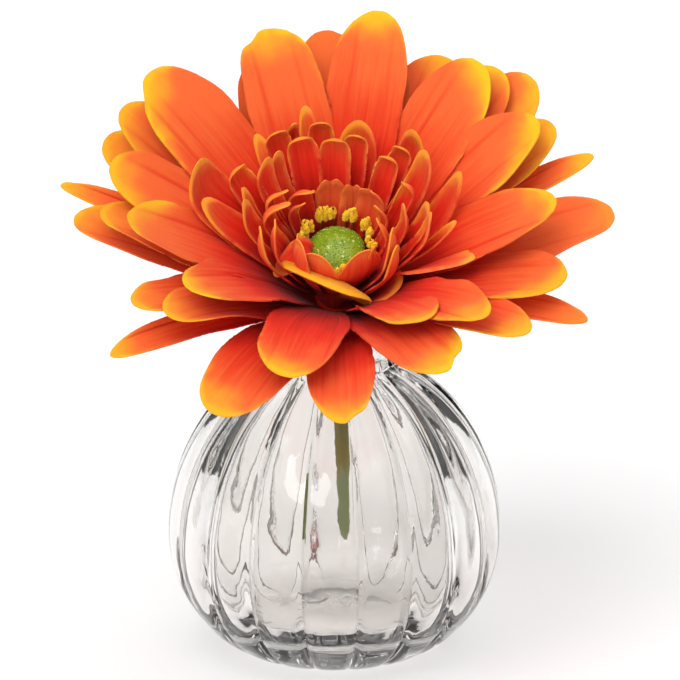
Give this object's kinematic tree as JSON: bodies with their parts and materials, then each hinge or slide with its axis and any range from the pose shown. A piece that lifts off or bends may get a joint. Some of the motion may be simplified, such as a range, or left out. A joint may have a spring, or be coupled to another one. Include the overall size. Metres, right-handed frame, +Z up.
{
  "type": "artificial gerbera in a glass vase",
  "caption": "Orange fabric gerbera with layered frayed petals and a green eye, leaning from a clear ribbed pressed-glass ball vase.",
  "frame": {"origin": "centre of the vase's flat base", "axes": "+Z up, square to the flat base; the flower leans towards -Y; +X is to its right seen from the front"},
  "size_m": [0.1265, 0.1178, 0.154],
  "materials": {
    "glass": "clear pressed glass with a rippled inside",
    "stem_plastic": "matte, moulded over wire",
    "calyx_plastic": "matte, moulded",
    "ray_fabric": "printed woven fabric, frayed edges, pressed creases",
    "floret_fabric": "printed woven fabric, frayed edges",
    "stamen_thread": "flocked thread",
    "eye_plastic": "soft pebbled plastic with pale beads"
  },
  "bodies": {
    "root": {"vase": "glass", "stem": "stem_plastic", "calyx": "calyx_plastic", "ray_lower": "ray_fabric", "ray_middle": "ray_fabric", "ray_upper": "ray_fabric", "floret_outer": "floret_fabric", "floret_second": "floret_fabric", "floret_third": "floret_fabric", "floret_inner": "floret_fabric", "stamens": "stamen_thread", "eye": "eye_plastic"}
  },
  "joints": []
}
